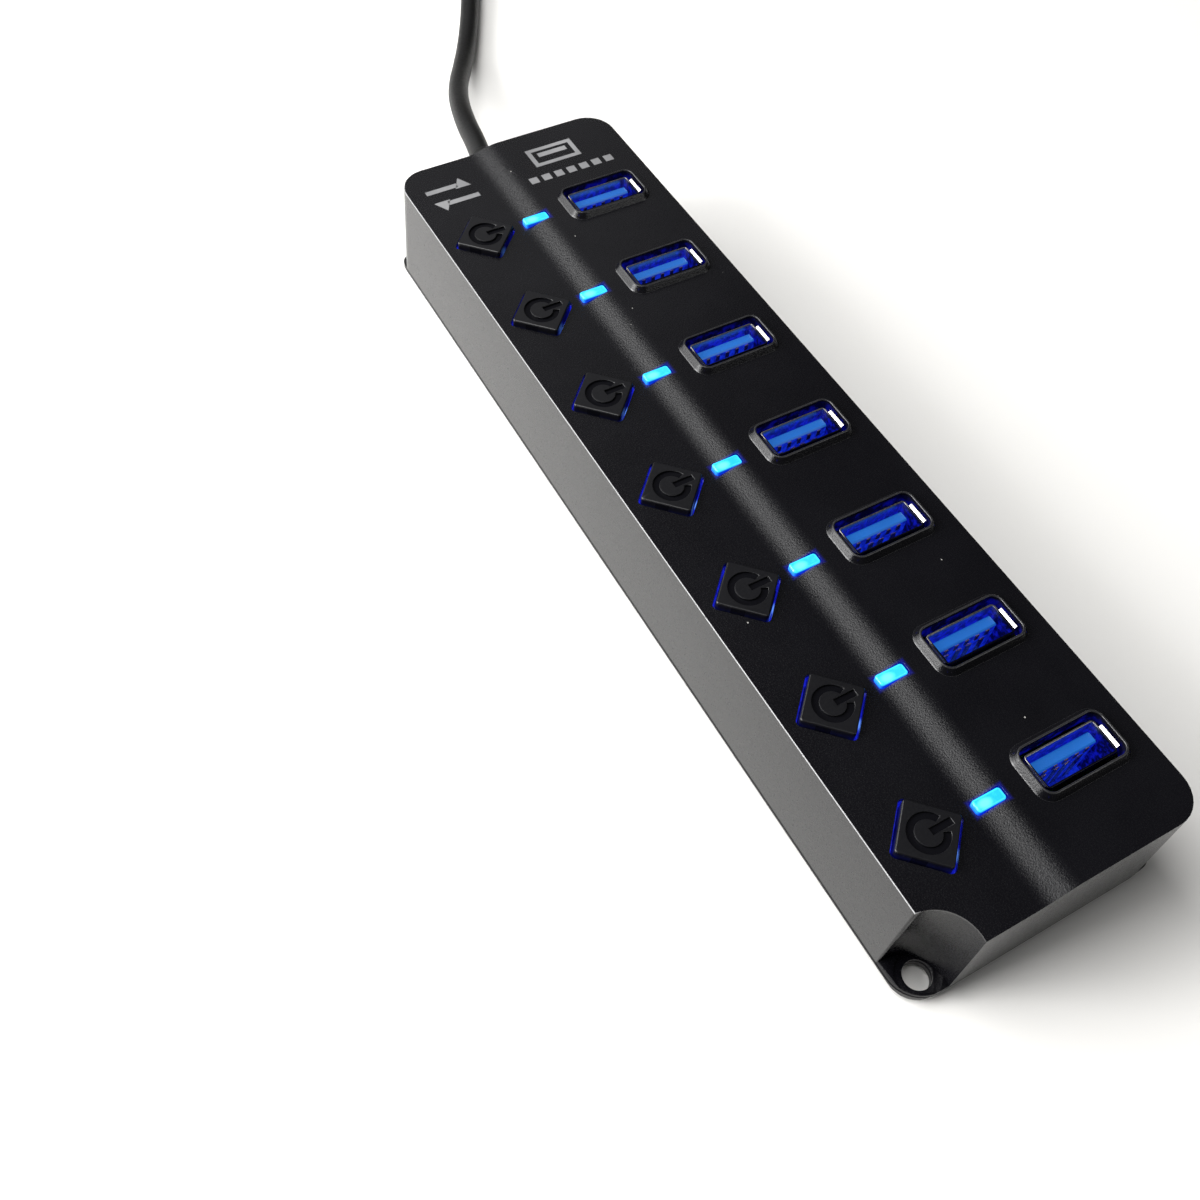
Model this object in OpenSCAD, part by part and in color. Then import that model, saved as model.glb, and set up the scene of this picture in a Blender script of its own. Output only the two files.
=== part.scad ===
// Desktop data hub: seven upright sockets in a row, each with its own lit push switch and
// signal lamp, in a two-part plastic housing with a captive lead and its plug.
// Millimetres. Z is up from the table, Y runs along the hub towards the lead, and X runs
// from the switches to the sockets. The origin is on the table under the housing's middle.

/* [Housing] */
// Width across the top edges
top_w = 45.5; // [44:0.5:60]
// Height of the switch side's top above the underside
low_h = 20.4; // [19:0.2:26]
// How far the socket side stands above the switch side
step_h = 1.2; // [0.6:0.1:2]
// How far each long side leans out by the underside
side_draft = 1.1; // [0.2:0.1:2]
// How far each end leans out by the underside
end_draft = 0.3; // [0.1:0.1:1]
// Radius of the upright corners
corner_r = 5.5; // [4:0.5:7]
// Thickness of the side walls
wall = 1.8; // [1.4:0.1:2.4]
// Thickness of the roof
roof_t = 2; // [1.5:0.1:2.5]
// Width of the soft slope between the two levels
slope_w = 7; // [5:0.5:8]
// Thickness of the bottom cover
cover_t = 1.2; // [1:0.1:1.6]
// Inset of the bottom cover's edge from the walls
seam_in = 0.3; // [0.1:0.1:0.5]

/* [Rows] */
// Distance between neighbouring sockets
pitch = 22.7; // [20:0.1:28]
// From the last socket's centre to the near end
near_end = 15.6; // [15:0.2:25]
// From the first socket's centre to the lead's end
far_end = 23.4; // [18:0.2:32]
// From the switch side's top edge to the switches' centres
switch_in = 8.15; // [7.8:0.05:10]
// From the socket side's top edge to the sockets' centres
port_in = 12; // [10.5:0.1:14]
// From the switches' centres to the lamps' centres
lamp_gap = 10.6; // [10:0.1:12]

/* [Mounting corner] */
// Radius of the scoop in the corner
scoop_r = 6.5; // [6:0.1:8]
// Thickness of the ear under the scoop
ear_t = 1.2; // [1:0.1:2]
// Diameter of the screw hole
ear_hole_d = 4.5; // [3.2:0.1:5]
// From the top edges to the screw hole's centre, in X and in Y
ear_in = [2.9, 3.2];
// Diameter of the shallow seat round the hole
ear_seat_d = 7; // [6:0.1:8]
// Depth of that seat
ear_seat_h = 0.2; // [0.1:0.05:0.4]

/* [Sockets] */
// Opening in the housing, across X
mouth_w = 15; // [14:0.1:15.6]
// Opening in the housing, across Y
mouth_l = 7.5; // [6.6:0.1:9]
// Corner radius of the opening
mouth_r = 1.5; // [0.8:0.1:2]
// Width of the raised rim round the opening
rim_w = 1.1; // [0.6:0.1:1.4]
// Width of the rim's level top
rim_land = 0.3; // [0.1:0.1:0.5]
// Height of the raised rim
rim_h = 1.1; // [0.6:0.1:1.4]
// Inside width of the metal shell
shell_w = 12.5; // [12.3:0.05:12.7]
// Inside depth of the metal shell
shell_l = 5.12; // [5:0.02:5.3]
// Thickness of the shell's sheet
shell_t = 0.3; // [0.25:0.05:0.4]
// How far the shell stays below the raised rim
shell_down = 0.9; // [0.5:0.1:1.5]
// Width of the tongue
tongue_w = 11.1; // [10.8:0.05:11.2]
// Thickness of the tongue
tongue_t = 1.84; // [1.7:0.02:1.9]
// Gap between the tongue and the shell's far wall
tongue_gap = 0.66; // [0.5:0.02:0.8]
// How far the tongue's tip stays below the shell's mouth
tongue_down = 1.4; // [1:0.1:1.8]

/* [Switches] */
// Side of the square cap
cap_side = 8.3; // [7:0.1:8.8]
// How far the cap stands above the switch side
cap_up = 1; // [0.8:0.1:2]
// Height of the cap
cap_h = 5; // [4.2:0.1:5.4]
// Corner radius of the cap
cap_r = 0.5; // [0.3:0.1:1.2]
// Gap round the cap
cap_gap = 0.45; // [0.3:0.05:0.7]
// How far the cap travels
travel = 1.5; // [0.8:0.1:1.6]
// Side of the switch's body
switch_w = 8.5; // [7:0.1:8.8]
// Height of the switch's body
switch_h = 6.6; // [5:0.1:6.8]
// Side of the switch's square plunger
plunger_w = 3.2; // [2.5:0.1:4]
// Radius of the mark on the cap, at the middle of its line
mark_r = 2.6; // [2:0.1:2.8]
// Width of the mark's line
mark_w = 1.1; // [0.5:0.05:1.2]
// Depth of the mark
mark_h = 0.35; // [0.15:0.05:0.4]

/* [Lamps] */
// Width of a lamp
lamp_w = 5; // [4.8:0.1:5.4]
// Depth of a lamp
lamp_l = 2; // [1.8:0.1:2.4]
// How far a lamp stands above the slope
lamp_up = 0.4; // [0.2:0.1:0.8]
// Height of a lamp's body
lamp_h = 7.4; // [6:0.1:8]

/* [Board] */
// Height of the board's underside above the hub's underside
board_up = 6.4; // [5:0.1:7]
// Thickness of the board
board_t = 1.6; // [1:0.1:2]
// Gap between the board and the walls
board_gap = 0.6; // [0.4:0.1:1.5]
// Diameter of the housing's screws
screw_d = 2.5; // [2:0.1:3]
// Diameter of the screws' posts
post_d = 6; // [5:0.2:7]
// From the top edges to the screws, in X and in Y
post_in = [6.75, 8.6];
// Extra inset of the post beside the scooped corner
scoop_post_in = 8; // [7:0.2:12]

/* [Feet] */
// Diameter of a rubber foot
foot_d = 10; // [8:0.5:12]
// How far a foot stands below the underside
foot_up = 1; // [0.6:0.1:2]
// Depth of a foot's seat
foot_in = 0.4; // [0.2:0.1:0.6]

/* [Lead] */
// Diameter of the lead
lead_d = 4.5; // [3.5:0.1:5]
// Height of the lead's axis above the underside
lead_up = 12; // [10.5:0.1:14]
// Length of the tapered relief outside the wall
relief_l = 9; // [6:0.5:12]
// Diameter of the relief at the wall
relief_d = 7.6; // [7:0.1:9]
// Diameter of the relief's neck in the wall
neck_d = 6.4; // [6:0.1:6.8]

/* [Hidden] */
$fn = 48;
eps = 0.01;
rows = 7;
len_y = (rows - 1) * pitch + near_end + far_end;
base_z = foot_up;
cover_z = base_z + cover_t;
low_z = base_z + low_h;
high_z = low_z + step_h;
switch_x = switch_in - top_w / 2;
port_x = top_w / 2 - port_in;
lamp_x = switch_x + lamp_gap;
board_z = base_z + board_up;
board_top = board_z + board_t;
hull_fn = 32;

// Housing
cavity_w = top_w - 2 * wall;
cavity_l = len_y - 2 * wall;
lip_h = 2;
lip_t = 1.2;
lip_gap = 0.2;
cover_r = 2.5;
cover_ear_r = 4.5;
slope_steps = 12;

// Sockets
rim_z = high_z + rim_h;
shell_top = rim_z - shell_down;
tongue_top = shell_top - tongue_down;
tongue_y = shell_l / 2 - tongue_gap - tongue_t / 2;
stem_block_h = 3.6;
shell_leg = [0.3, 1.6, 2.6];
leg_gap = 0.15;
strip_t = 0.15;
long_strip_w = 1;
long_strip_x = [-3.5, -1, 1, 3.5];
short_strip_w = 0.7;
short_strip_x = [-4, -2, 0, 2, 4];
short_strip_l = 1.2;

// Switches
cap_z = low_z + cap_up - cap_h;
cap_wall = 1.2;
switch_top = board_top + switch_h;
plunger_gap = 0.1;
plunger_low = switch_top - 4.2;
plunger_high = cap_z + cap_h - cap_wall;
pocket_low = switch_top - 5.9;
guide_gap = 0.3;
guide_w = 1;
guide_h = 1.6;
guide_r = 1;

// Lamps
lamp_z = (low_z + high_z) / 2 + lamp_up;
lamp_clear = 0.15;
flange_w = 0.3;
flange_h = 0.8;
pin_w = 0.5;
pin_x = 1.27;
pin_gap = 0.15;

// Mounting corner
scoop_at = [-top_w / 2 - 0.45, -len_y / 2 + 1];
ear_at = [ear_in.x - top_w / 2, ear_in.y - len_y / 2];
ear_gap = 0.04;

// Posts and screws: three corners, and one stepped in beside the scoop
post_x = top_w / 2 - post_in.x;
post_y = len_y / 2 - post_in.y;
posts = [[post_x, post_y], [-post_x, post_y], [post_x, -post_y], [scoop_post_in - post_x, -post_y]];
screw_gap = 0.25;
screw_bite = 0.15;
screw_grip = 6;
head_d = 2 * screw_d;
head_h = 1;

// Feet
foot_at = [top_w / 2 - 8, len_y / 2 - 28];

// Small parts on the board
chip_size = [9, 9, 0.9];
chip_gaps = [2, 5];
can_d = 6.3;
can_h = 5.4;
can_gaps = [1, 3, 4, 6];
crystal_size = [11.4, 4.8, 3.8];
resistor_size = [1.25, 2, 0.5];
button_led_size = [2, 1.25, 0.8];

// Lead: its route from the relief's tip along the table, then a coil and a tail to the plug
lead_r = lead_d / 2;
lead_z = base_z + lead_up;
relief_tip_d = lead_d + 0.8;
flange_side = 9;
flange_l = 1.5;
flange_gap = 0.1;
relief_y = len_y / 2 + relief_l;
lead_sides = 10;
run_route = [
    [0, 0, lead_z], [1.2, 5.4, lead_z - 0.3], [2.4, 11.4, lead_z - 1], [4, 17.4, lead_z - 2.1],
    [6, 23.4, 9.4], [8.4, 29.4, 7.7], [11.6, 35.9, 5.8], [15.6, 42.9, 4], [20, 50.4, 2.7],
    [24.8, 58.9, lead_r], [29.8, 68.4, lead_r], [34.8, 78.4, lead_r], [39.7, 89.4, lead_r],
    [44.5, 101.4, lead_r], [48.6, 114.4, lead_r], [51.8, 128.4, lead_r], [53.4, 140.4, lead_r]
];
tail_route = [
    [18, 173, 6.7], [11, 173.1, 6.7], [3, 173, 5.4], [-4, 172, 4], [-10, 169, 2.7],
    [-14.4, 164.4, 2.5], [-16.6, 159.4, 3.2], [-17, 155.4, 4]
];
coil_at = [24, 145.4];
coil_in = 23;
coil_out = coil_in + 2 * lead_d;
coil_h = 2 * lead_d;
coil_cut = 1.4;
tie_turn = 225;
tie_w = 6;
tie_t = 0.6;
tie_gap = 0.1;
tie_sag = 0.25;
tie_under = 0.4;

// Plug, lying flat beside the coil with its tip towards the hub
plug_at = [-17, 155.4, 4];
grip_size = [15.4, 24, 8];
grip_r = 2.6;
grip_neck_l = 5;
grip_neck_d = 7;
plug_shell_size = [12, 18.7, 4.5];
plug_shell_t = 0.3;
plug_window = [2.2, 2.4];
plug_tongue_size = [11, 17.6, 1.9];

// Row 1 is the socket nearest the lead, and gap i lies between rows i and i + 1
function row_y(i) = len_y / 2 - far_end - (i - 1) * pitch;
function gap_y(i) = row_y(i) - pitch / 2;

// A plate with round corners, centred on the origin
module slab(w, l, r, h) {
    linear_extrude(h) {
        square([w - 2 * r, l], center = true);
        square([w, l - 2 * r], center = true);
        for (x = [-1, 1], y = [-1, 1])
            translate([x * (w / 2 - r), y * (l / 2 - r)]) circle(r);
    }
}

module box(size, at = [0, 0, 0]) {
    translate([at.x - size.x / 2, at.y - size.y / 2, at.z]) cube(size);
}

// The roof's line from side to side: low over the switches, a soft slope, high over the sockets
function slope(s) = s * s * (3 - 2 * s);
function roof_line(half, drop) = concat(
    [[-half, low_z - drop]],
    [for (k = [0 : slope_steps]) let (s = k / slope_steps)
        [lamp_x + (s - 0.5) * slope_w, low_z - drop + step_h * slope(s)]],
    [[half, high_z - drop]]);

module under_roof(half, drop, length) {
    rotate([90, 0, 0]) linear_extrude(length, center = true)
        polygon(concat([[-half, cover_z]], roof_line(half, drop), [[half, cover_z]]));
}

// Outside of the top housing, leaning in from the underside to the roof
module housing_blank() {
    intersection() {
        hull() {
            translate([0, 0, cover_z])
                slab(top_w + 2 * side_draft, len_y + 2 * end_draft, corner_r, eps, $fn = hull_fn);
            translate([0, 0, high_z]) slab(top_w, len_y, corner_r, eps, $fn = hull_fn);
        }
        under_roof(top_w, 0, 2 * len_y);
    }
}

module cavity() {
    intersection() {
        translate([0, 0, cover_z - 1]) slab(cavity_w, cavity_l, corner_r - wall, high_z);
        translate([0, 0, -1]) under_roof(top_w, roof_t - 1, 2 * len_y);
    }
}

// Raised rim with sloping outer sides: a ramp each way and a cone at each corner
module rim() {
    slope_in = rim_w - rim_land;
    for (side = [[mouth_w, mouth_l, 0], [mouth_l, mouth_w, 90]])
        rotate([90, 0, side[2]]) linear_extrude(side[1] - 2 * mouth_r, center = true)
            polygon([
                [-side[0] / 2 - rim_w, 0], [side[0] / 2 + rim_w, 0],
                [side[0] / 2 + rim_w - slope_in, rim_h], [slope_in - rim_w - side[0] / 2, rim_h]]);
    for (x = [-1, 1], y = [-1, 1])
        translate([x * (mouth_w / 2 - mouth_r), y * (mouth_l / 2 - mouth_r), 0])
            cylinder(r1 = mouth_r + rim_w, r2 = mouth_r + rim_land, h = rim_h);
}

module top_housing() {
    color("#1b1d20") difference() {
        union() {
            difference() {
                housing_blank();
                cavity();
            }
            // wall of the scoop
            intersection() {
                housing_blank();
                translate([scoop_at.x, scoop_at.y, 0]) cylinder(r = scoop_r + wall, h = high_z + 1);
            }
            for (i = [1 : rows]) translate([port_x, row_y(i), high_z - eps]) rim();
            for (p = posts) translate([p.x, p.y, board_top])
                cylinder(d = post_d, h = (p.x > lamp_x ? high_z : low_z) - roof_t / 2 - board_top);
        }
        translate([scoop_at.x, scoop_at.y, 0]) cylinder(r = scoop_r, h = 2 * high_z);
        for (i = [1 : rows]) {
            translate([port_x, row_y(i), high_z - 2 * roof_t])
                slab(mouth_w, mouth_l, mouth_r, 3 * roof_t);
            translate([switch_x, row_y(i), low_z - 2 * roof_t]) rotate(45)
                slab(cap_side + 2 * cap_gap, cap_side + 2 * cap_gap, cap_r + cap_gap, 4 * roof_t);
            translate([lamp_x, row_y(i), low_z - 2 * roof_t])
                slab(lamp_w + 2 * lamp_clear, lamp_l + 2 * lamp_clear, 0.6, 4 * roof_t);
        }
        for (p = posts) translate([p.x, p.y, board_top - 1])
            cylinder(d = screw_d - 2 * screw_bite, h = screw_grip + 2);
        translate([0, len_y / 2 - wall - 1, lead_z]) rotate([-90, 0, 0])
            cylinder(d = neck_d + 0.2, h = wall + 3);
    }
}

// Screw ear that fills the foot of the scoop and lies on the cover
module corner_ear() {
    color("#1b1d20") difference() {
        intersection() {
            housing_blank();
            translate([scoop_at.x, scoop_at.y, cover_z - 1]) cylinder(r = scoop_r - ear_gap, h = 1 + ear_t);
        }
        translate([ear_at.x, ear_at.y, 0]) cylinder(d = ear_hole_d, h = high_z);
        translate([ear_at.x, ear_at.y, cover_z + ear_t - ear_seat_h])
            cylinder(d = ear_seat_d, h = high_z);
    }
}

// The bottom cover's outline: tight corners, and a rounder one under the ear
module cover_plan(h) {
    w = top_w + 2 * side_draft - 2 * seam_in;
    l = len_y + 2 * end_draft - 2 * seam_in;
    slab(w, l, cover_r, h);
}

module bottom_cover() {
    w = top_w + 2 * side_draft - 2 * seam_in;
    l = len_y + 2 * end_draft - 2 * seam_in;
    color("#121315") difference() {
        union() {
            difference() {
                translate([0, 0, base_z]) cover_plan(cover_t);
                // rounder corner under the ear
                difference() {
                    box([2 * cover_ear_r, 2 * cover_ear_r, 4], [-w / 2, -l / 2, base_z - 1]);
                    translate([cover_ear_r - w / 2, cover_ear_r - l / 2, base_z - 2])
                        cylinder(r = cover_ear_r, h = 6);
                }
            }
            // lip that centres the cover in the housing
            difference() {
                translate([0, 0, cover_z - eps])
                    slab(cavity_w - 2 * lip_gap, cavity_l - 2 * lip_gap,
                        corner_r - wall - lip_gap, lip_h);
                translate([0, 0, cover_z - 1])
                    slab(cavity_w - 2 * lip_gap - 2 * lip_t, cavity_l - 2 * lip_gap - 2 * lip_t,
                        corner_r - wall - lip_gap - lip_t, lip_h + 2);
                translate([scoop_at.x, scoop_at.y, cover_z - 1])
                    cylinder(r = scoop_r + wall + lip_gap, h = lip_h + 2);
            }
            for (p = posts) translate([p.x, p.y, base_z + cover_t / 2])
                cylinder(d = post_d, h = board_z - base_z - cover_t / 2);
        }
        for (p = posts) translate([p.x, p.y, 0]) {
            cylinder(d = screw_d + 2 * screw_gap, h = board_z + 1);
            translate([0, 0, base_z - 1]) cylinder(d = head_d + 0.3, h = 1.1);
            translate([0, 0, base_z + 0.1])
                cylinder(d1 = head_d + 0.3, d2 = screw_d + 2 * screw_gap, h = head_h);
        }
        for (x = [-1, 1], y = [-1, 1])
            translate([x * foot_at.x, y * foot_at.y, base_z - 1])
                cylinder(d = foot_d + 0.2, h = 1 + foot_in);
        translate([ear_at.x, ear_at.y, 0]) cylinder(d = ear_hole_d, h = board_z);
    }
}

module main_board() {
    w = cavity_w - 2 * board_gap;
    l = cavity_l - 2 * board_gap - 2 * flange_l;
    color("#1f6b3a") difference() {
        translate([0, 0, board_z]) slab(w, l, 1.5, board_t);
        for (p = posts) translate([p.x, p.y, 0]) cylinder(d = screw_d + 2 * screw_gap, h = board_top + 1);
        translate([scoop_at.x, scoop_at.y, 0]) cylinder(r = scoop_r + wall + board_gap, h = board_top + 1);
        for (i = [1 : rows]) {
            for (x = [-1, 1])
                box([shell_leg.x + 2 * leg_gap, shell_leg.y + 2 * leg_gap, 3 * board_t],
                    [port_x + x * (shell_w + shell_t) / 2, row_y(i), board_z - board_t]);
            for (x = [-1, 1])
                box([pin_w + 2 * pin_gap, pin_w + 2 * pin_gap, 3 * board_t],
                    [lamp_x + x * pin_x, row_y(i), board_z - board_t]);
        }
    }
}

// Countersunk screws up through the cover and the board into the housing's posts
module housing_screws() {
    color("silver") for (p = posts) translate([p.x, p.y, base_z + 0.1]) difference() {
        union() {
            cylinder(d1 = head_d, d2 = screw_d, h = head_h);
            cylinder(d = screw_d, h = board_top - base_z + screw_grip);
        }
        for (a = [0, 90]) rotate(a) box([2.8, 0.5, 1.4], [0, 0, -0.7]);
    }
}

module rubber_feet() {
    color("#2a2b2d") for (x = [-1, 1], y = [-1, 1]) translate([x * foot_at.x, y * foot_at.y, 0]) {
        translate([0, 0, 0.3]) cylinder(d = foot_d, h = base_z + foot_in - 0.3);
        cylinder(d1 = foot_d - 0.6, d2 = foot_d, h = 0.3);
    }
}

module hub_chips() {
    color("#26282b") for (g = chip_gaps) box(chip_size, [lamp_x + 1.5, gap_y(g), board_top]);
}

module crystals() {
    color("silver") for (g = chip_gaps)
        translate([port_x, gap_y(g), board_top])
            slab(crystal_size.x, crystal_size.y, crystal_size.y / 2 - 0.01, crystal_size.z);
}

module capacitors() {
    color("lightgray") for (g = can_gaps)
        translate([lamp_x + 1.5, gap_y(g), board_top]) cylinder(d = can_d, h = can_h);
}

module resistors() {
    color("#222222") for (i = [1 : rows], y = [-4, 4])
        box(resistor_size, [lamp_x + 5, row_y(i) + y, board_top]);
}

// Small blue light sources beside the switches
module button_leds() {
    color("#f2f0d8") for (i = [1 : rows])
        box(button_led_size, [switch_x, row_y(i) + switch_w / 2 + 1.5, board_top]);
}

// Clear frames under the roof that carry the blue light to the gap round each cap
module light_guides() {
    inner = cap_side + 2 * guide_gap;
    outer = inner + 2 * guide_w;
    low = low_z - roof_t - guide_h - eps;
    color("#3b6cff") intersection() {
        for (i = [1 : rows]) translate([switch_x, row_y(i), low]) rotate(45) difference() {
            slab(outer, outer, guide_r, guide_h);
            translate([0, 0, -1]) slab(inner, inner, cap_r + guide_gap, guide_h + 2);
        }
        // flat beside the wall
        box([cavity_w - 2 * guide_gap, cavity_l, 2 * guide_h], [0, 0, low - 1]);
    }
}

module switch_bodies() {
    color("#e8e8e4") for (i = [1 : rows]) translate([switch_x, row_y(i), 0]) difference() {
        translate([0, 0, board_top]) slab(switch_w, switch_w, 0.4, switch_h);
        box([plunger_w + 2 * plunger_gap, plunger_w + 2 * plunger_gap, switch_h],
            [0, 0, pocket_low]);
    }
}

module plunger(i) {
    color("#dfe8ff") translate([switch_x, row_y(i), 0])
        box([plunger_w, plunger_w, plunger_high - plunger_low], [0, 0, plunger_low]);
}

// A ring open towards the sockets, with a bar in the opening
module power_mark(h) {
    linear_extrude(h) {
        difference() {
            circle(mark_r + mark_w / 2);
            circle(mark_r - mark_w / 2);
            polygon([[0, 0], [2 * mark_r, -0.9 * mark_r], [2 * mark_r, 0.9 * mark_r]]);
        }
        translate([0.15 * mark_r, -mark_w / 2]) square([1.4 * mark_r, mark_w]);
    }
}

module keycap(i) {
    color("#141518") translate([switch_x, row_y(i), cap_z]) difference() {
        rotate(45) slab(cap_side, cap_side, cap_r, cap_h);
        box([plunger_w, plunger_w, plunger_high - cap_z + 1], [0, 0, -1]);
        translate([0, 0, cap_h - mark_h]) power_mark(1);
    }
}

module port_shell(i) {
    outer = [shell_w + 2 * shell_t, shell_l + 2 * shell_t];
    color("silver") translate([port_x, row_y(i), 0]) {
        difference() {
            translate([0, 0, board_top]) slab(outer.x, outer.y, 0.6, shell_top - board_top);
            translate([0, 0, board_top - 1]) slab(shell_w, shell_l, 0.3, shell_top);
        }
        for (x = [-1, 1])
            box(shell_leg + [0, 0, eps], [x * (shell_w + shell_t) / 2, 0, board_top - shell_leg.z]);
    }
}

module port_tongue(i) {
    color("#1f6fe0") translate([port_x, row_y(i), board_top]) {
        slab(shell_w - 0.2, shell_l - 0.2, 0.3, stem_block_h);
        translate([0, tongue_y, 0]) difference() {
            box([tongue_w, tongue_t, tongue_top - board_top]);
            // eased lead-in edges on the tip
            for (y = [-1, 1]) translate([0, y * tongue_t / 2, tongue_top - board_top])
                rotate([45, 0, 0]) cube([2 * tongue_w, 0.34, 0.34], center = true);
        }
    }
}

// Long and short contact strips on the near face of each tongue
module port_contacts() {
    low = board_top + stem_block_h;
    color("gold") for (i = [1 : rows])
        translate([port_x, row_y(i) + tongue_y - tongue_t / 2 - strip_t / 2, 0]) {
            for (x = long_strip_x)
                box([long_strip_w, strip_t, tongue_top - 2.4 - low], [x, 0, low]);
            for (x = short_strip_x)
                box([short_strip_w, strip_t, short_strip_l], [x, 0, tongue_top - 0.5 - short_strip_l]);
        }
}

module lamp(i) {
    color("#59c8ff") translate([lamp_x, row_y(i), lamp_z - lamp_h]) {
        slab(lamp_w, lamp_l, 0.5, lamp_h);
        slab(lamp_w + 2 * flange_w, lamp_l + 2 * flange_w, 0.5, flange_h);
    }
}

module lamp_pins() {
    color("silver") for (i = [1 : rows], x = [-1, 1])
        box([pin_w, pin_w, lamp_z - lamp_h - board_z + 1], [lamp_x + x * pin_x, row_y(i), board_z - 1]);
}

// Four wires from the lead's inner end down to the board
module lead_wires() {
    start = [len_y / 2 - wall - flange_l - 0.3, lead_z];
    run = [7, lead_z - board_top - 0.55];
    for (k = [0 : 3])
        color(["red", "white", "green", "black"][k])
            translate([(k - 1.5) * 1.3, start.x, start.y])
                rotate([90 + atan(run.y / run.x), 0, 0]) cylinder(d = 1, h = norm(run));
}

module strain_relief() {
    color("#17181a") translate([0, len_y / 2, lead_z]) {
        translate([-flange_side / 2, -wall - flange_l - flange_gap, -flange_side / 2])
            cube([flange_side, flange_l, flange_side]);
        rotate([-90, 0, 0]) {
            translate([0, 0, -wall - 0.2]) cylinder(d = neck_d, h = wall + 1);
            translate([0, 0, end_draft + 0.1])
                cylinder(d1 = relief_d, d2 = relief_tip_d, h = relief_l - end_draft - 0.1);
        }
    }
}

// A tube with flat ends swept along a route
function unit(v) = v / norm(v);
function heading(p, k) =
    unit(k == 0 ? p[1] - p[0] : k == len(p) - 1 ? p[k] - p[k - 1] : p[k + 1] - p[k - 1]);
function ring(at, dir) = let (side = unit(cross(dir, [0, 0, 1])), up = cross(side, dir))
    [for (a = [0 : lead_sides - 1]) let (t = 360 * (a + 0.5) / lead_sides)
        at + lead_r * (cos(t) * side + sin(t) * up)];

module tube(route) {
    n = lead_sides;
    last = len(route) - 1;
    points = [for (k = [0 : last]) each ring(route[k], heading(route, k))];
    sides = [for (k = [0 : last - 1], a = [0 : n - 1]) let (b = (a + 1) % n)
        [k * n + a, k * n + b, (k + 1) * n + b, (k + 1) * n + a]];
    first_end = [for (a = [n - 1 : -1 : 0]) a];
    last_end = [for (a = [0 : n - 1]) last * n + a];
    polyhedron(points, concat(sides, [first_end], [last_end]), convexity = 4);
}

// Moves what lies beyond the relief's tip along with it
module past_relief() {
    translate([0, relief_y, 0]) children();
}

module cord_run() {
    color("#1c1d1f") past_relief() tube(run_route);
}

module cord_tail() {
    color("#1c1d1f") past_relief() tube(tail_route);
}

module cord_coil() {
    color("#1c1d1f") past_relief() translate([coil_at.x, coil_at.y, 0]) difference() {
        rotate_extrude($fn = 96) polygon([
            [coil_in, 0], [coil_out, 0], [coil_out, coil_h - 2 * coil_cut],
            [coil_out - 2 * coil_cut, coil_h], [coil_in + 2 * coil_cut, coil_h],
            [coil_in, coil_h - 2 * coil_cut]]);
        // bed for the tie
        rotate(tie_turn) translate([coil_in - 1, -tie_w / 2 - tie_gap, -1])
            cube([coil_out - coil_in + 2, tie_w + 2 * tie_gap, 1 + tie_under + tie_gap]);
    }
}

module cord_tie() {
    inner = [coil_out - coil_in + tie_sag + tie_gap, coil_h + tie_gap - tie_under];
    color("#303236") past_relief() translate([coil_at.x, coil_at.y, 0]) rotate(tie_turn)
        translate([coil_in - tie_sag, tie_w / 2, 0]) rotate([90, 0, 0]) linear_extrude(tie_w)
            difference() {
                translate([-tie_t, 0]) square([inner.x + 2 * tie_t, inner.y + tie_under + tie_t]);
                translate([0, tie_under]) square(inner);
            }
}

module plug_grip() {
    color("#17181a") past_relief() translate(plug_at) rotate([90, 0, 0]) {
        translate([0, 0, grip_neck_l]) slab(grip_size.x, grip_size.z, grip_r, grip_size.y);
        cylinder(d1 = relief_tip_d, d2 = grip_neck_d, h = grip_neck_l + eps);
    }
}

module plug_shell() {
    s = plug_shell_size;
    color("silver") past_relief() translate(plug_at - [0, grip_neck_l + grip_size.y, 0]) difference() {
        rotate([90, 0, 0]) slab(s.x, s.z, 0.6, s.y);
        translate([0, 1, 0]) rotate([90, 0, 0])
            slab(s.x - 2 * plug_shell_t, s.z - 2 * plug_shell_t, 0.35, s.y + 2);
        for (x = [-1, 1])
            box([plug_window.x, plug_window.y, 2 * s.z], [x * s.x / 4, -0.62 * s.y, -s.z]);
    }
}

module plug_tongue() {
    s = plug_tongue_size;
    low = plug_shell_t - plug_shell_size.z / 2 + 0.05;
    color("#1f6fe0") past_relief() translate(plug_at - [0, grip_neck_l + grip_size.y + s.y / 2, 0])
        box(s, [0, 0, low]);
}

module plug_contacts() {
    s = plug_tongue_size;
    top = plug_shell_t - plug_shell_size.z / 2 + 0.05 + s.z;
    color("gold") past_relief() translate(plug_at - [0, grip_neck_l + grip_size.y, 0])
        for (x = long_strip_x) box([long_strip_w, 9, strip_t], [x, -s.y + 5.5, top]);
}

top_housing();
corner_ear();
bottom_cover();
main_board();
housing_screws();
rubber_feet();
hub_chips();
crystals();
capacitors();
resistors();
button_leds();
light_guides();
switch_bodies();
for (i = [1 : rows]) plunger(i);
for (i = [1 : rows]) keycap(i);
for (i = [1 : rows]) port_shell(i);
for (i = [1 : rows]) port_tongue(i);
port_contacts();
for (i = [1 : rows]) lamp(i);
lamp_pins();
lead_wires();
strain_relief();
cord_run();
cord_coil();
cord_tail();
cord_tie();
plug_grip();
plug_shell();
plug_tongue();
plug_contacts();
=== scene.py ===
# Seven-socket desktop hub: the looks.
# Lengths in the dictionaries are in millimetres; Blender and the frame are in metres.
import math
import bpy
import bmesh
from mathutils import Matrix, Quaternion, Vector


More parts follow.
